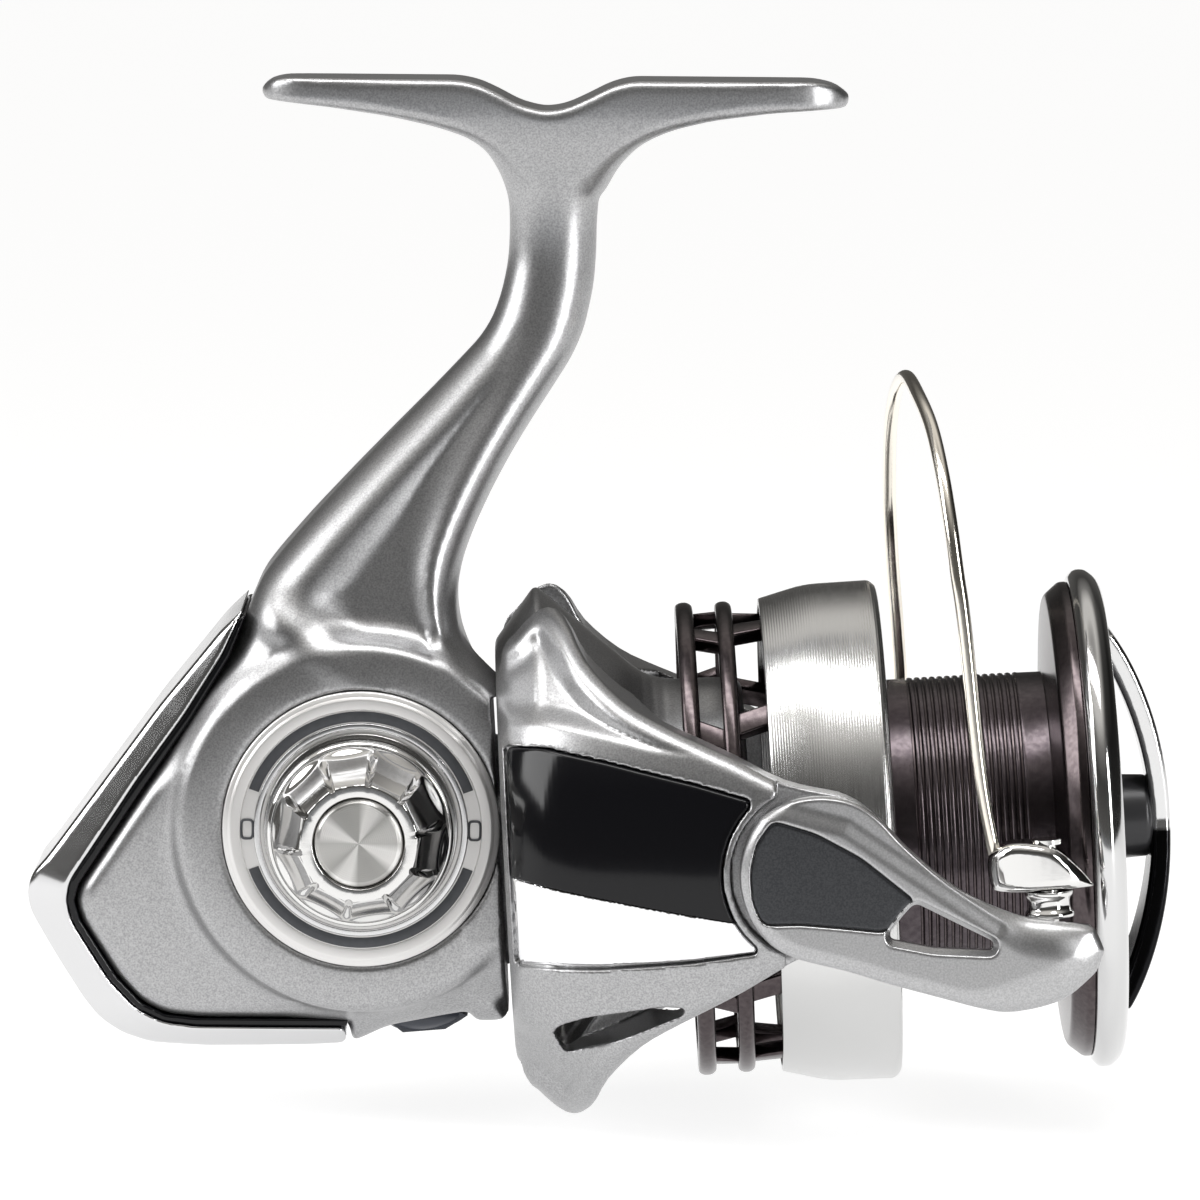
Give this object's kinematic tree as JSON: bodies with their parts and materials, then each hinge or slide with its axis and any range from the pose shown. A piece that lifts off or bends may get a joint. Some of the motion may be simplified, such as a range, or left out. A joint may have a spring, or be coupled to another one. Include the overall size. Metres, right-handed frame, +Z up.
{
  "type": "spinning reel",
  "caption": "Fixed-spool fishing reel on a rod foot: gear case with rear cover, geared rotor with folding bail and line roller, sliding spool with drag, cranked handle.",
  "frame": {"origin": "centre of the rod foot, on its seat plane", "axes": "+X toward the front of the spool along the rod, +Y to the handle side, +Z up into the rod"},
  "size_m": [0.1231, 0.1166, 0.1115],
  "materials": {
    "frame_paint": "satin",
    "chrome_cover": "polished",
    "black_seal": "gloss",
    "screw_steel": "satin",
    "lever_plastic": "matte",
    "plate_metal": "satin",
    "cap_chrome": "polished",
    "insert_alu": "spun",
    "bearing_steel": "ground",
    "gear_brass": "machined",
    "gear_alloy": "machined",
    "inner_plastic": "matte",
    "shaft_steel": "ground",
    "handle_alu": "satin",
    "grip_rubber": "matte",
    "panel_black": "gloss",
    "dark_inlay": "satin",
    "bail_paint": "satin",
    "polished_steel": "polished",
    "spool_alu": "turned",
    "lip_alu": "polished",
    "washer_felt": "matte",
    "knob_metal": "polished"
  },
  "bodies": {
    "frame": {"body_frame": "frame_paint", "rear_cover": "chrome_cover", "rear_cover_gasket": "black_seal", "rear_cover_screws": "screw_steel", "engine_plate": "plate_metal", "plate_seal": "black_seal", "handle_cap": "cap_chrome", "cap_insert": "insert_alu", "drive_bearing_near": "bearing_steel", "drive_bearing_far": "bearing_steel", "pinion_bearing_rear": "bearing_steel", "pinion_bearing_front": "bearing_steel", "bearing_retainer": "plate_metal", "clutch_housing": "inner_plastic", "clutch_screws": "screw_steel", "clutch_rollers": "bearing_steel", "slider_guide_rod": "shaft_steel", "osc_gear_axle": "shaft_steel"},
    "lever": {"anti_reverse_lever": "lever_plastic"},
    "handle": {"drive_gear": "gear_alloy", "drive_shaft": "shaft_steel", "osc_pinion": "gear_brass", "handle_shank": "shaft_steel", "handle_collar": "plate_metal", "handle_arm": "handle_alu", "handle_nut": "cap_chrome", "knob_pin": "shaft_steel"},
    "knob": {"knob_grip": "grip_rubber", "knob_cap": "plate_metal", "knob_bearings": "bearing_steel"},
    "crank_gear": {"osc_gear": "gear_brass"},
    "rotor_unit": {"rotor": "frame_paint", "pinion": "gear_brass", "clutch_sleeve": "bearing_steel", "rotor_nut": "gear_brass", "rotor_nut_retainer": "inner_plastic", "arm_panel_near": "panel_black", "arm_panel_far": "panel_black", "bail_spring": "screw_steel", "bail_trip_lever": "inner_plastic", "pivot_screw_near": "screw_steel", "pivot_screw_far": "screw_steel"},
    "bail": {"bail_arm": "bail_paint", "bail_cover": "dark_inlay", "bail_lever_far": "bail_paint", "bail_wire": "polished_steel", "wire_cone": "polished_steel", "roller_screw": "polished_steel"},
    "roller": {"line_roller": "polished_steel"},
    "shaft_unit": {"main_shaft": "shaft_steel", "slider": "gear_alloy", "slider_screw": "screw_steel", "spool_bushing": "inner_plastic", "click_ratchet": "inner_plastic"},
    "spool_unit": {"spool": "spool_alu", "spool_lip_ring": "lip_alu", "drag_washers": "washer_felt", "washer_retainer": "screw_steel"},
    "drag_unit": {"drag_knob": "knob_metal", "drag_nut": "gear_brass", "drag_spring": "screw_steel"}
  },
  "joints": [
    {"name": "rotor_spin", "type": "hinge", "parent": "frame", "child": "rotor_unit", "pos_m": [0, 0, -0.0832], "axis": [0.9981, 0, 0.061], "continuous": true},
    {"name": "handle_turn", "type": "hinge", "parent": "frame", "child": "handle", "pos_m": [-0.02, 0, -0.07941], "axis": [0, 1, 0], "continuous": true},
    {"name": "crank_turn", "type": "hinge", "parent": "frame", "child": "crank_gear", "pos_m": [-0.03318, 0, -0.08683], "axis": [0, 1, 0], "continuous": true},
    {"name": "spool_slide", "type": "slide", "parent": "frame", "child": "shaft_unit", "axis": [0.9981, 0, 0.061], "range_m": [0, 0.0145]},
    {"name": "spool_drag", "type": "hinge", "parent": "shaft_unit", "child": "spool_unit", "pos_m": [0.03993, 0, -0.08076], "axis": [0.9981, 0, 0.061], "continuous": true},
    {"name": "drag_turn", "type": "hinge", "parent": "shaft_unit", "child": "drag_unit", "pos_m": [0.05989, 0, -0.07954], "axis": [0.9981, 0, 0.061], "range_deg": [-270, 270]},
    {"name": "bail_flip", "type": "hinge", "parent": "rotor_unit", "child": "bail", "pos_m": [0.02815, 0, -0.08148], "axis": [0, 1, 0], "range_deg": [0, 110]},
    {"name": "roller_spin", "type": "hinge", "parent": "bail", "child": "roller", "pos_m": [0.05248, -0.0304, -0.0846], "axis": [-0.061, 0, 0.9981], "continuous": true},
    {"name": "knob_spin", "type": "hinge", "parent": "handle", "child": "knob", "pos_m": [0.02939, 0.06, -0.08724], "axis": [0, 1, 0], "continuous": true},
    {"name": "lever_swing", "type": "hinge", "parent": "frame", "child": "lever", "pos_m": [-0.0122, 0, -0.1], "axis": [0, 0, 1], "range_deg": [0, 25]}
  ],
  "couplings": [
    {"joint": "handle_turn", "follows": "rotor_spin", "ratio": 0.19149},
    {"joint": "crank_turn", "follows": "rotor_spin", "ratio": -0.17168}
  ]
}
